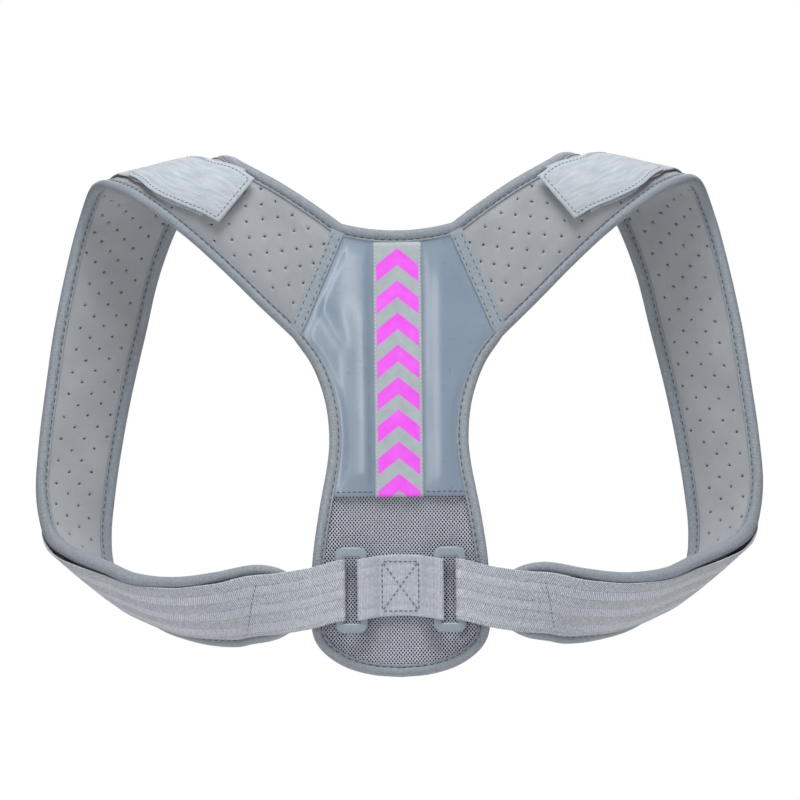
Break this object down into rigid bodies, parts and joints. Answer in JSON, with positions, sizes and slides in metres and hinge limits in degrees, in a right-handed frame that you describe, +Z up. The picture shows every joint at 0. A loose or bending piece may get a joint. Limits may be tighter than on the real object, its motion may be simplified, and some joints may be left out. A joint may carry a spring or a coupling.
{
  "type": "posture corrector",
  "caption": "Posture corrector in its worn form: Y-shaped back panel, padded loops round the shoulders and under the arms, and webbing drawn through plastic rings at the small of the back",
  "frame": {"origin": "midway between the two places where the bands bear on the wearer's shoulders", "axes": "+Z up, +Y from the back panel towards the wearer's chest, +X to the wearer's right"},
  "size_m": [0.454, 0.1247, 0.324],
  "materials": {
    "air_mesh": "knitted air mesh",
    "leatherette": "smooth coated, satin",
    "ribbon": "woven ribbon with chevrons",
    "binding_tape": "woven binding, soft sheen",
    "webbing": "ribbed webbing",
    "seam_tape": "woven tape",
    "pad_fabric": "perforated foam fabric, matte",
    "tab_fabric": "brushed hook-and-loop",
    "ring_plastic": "moulded, fine grain"
  },
  "bodies": {
    "root": {"mesh_panel": "air_mesh", "leatherette_panel": "leatherette", "chevron_ribbon": "ribbon", "neck_binding": "binding_tape", "side_binding": "binding_tape", "centre_webbing": "webbing", "seam_tape_left": "seam_tape", "seam_tape_right": "seam_tape", "arm_pad_left": "pad_fabric", "arm_pad_right": "pad_fabric", "arm_webbing_left": "webbing", "arm_webbing_right": "webbing", "shoulder_tab_left": "tab_fabric", "shoulder_tab_right": "tab_fabric", "ring_left": "ring_plastic", "ring_right": "ring_plastic"}
  },
  "joints": []
}
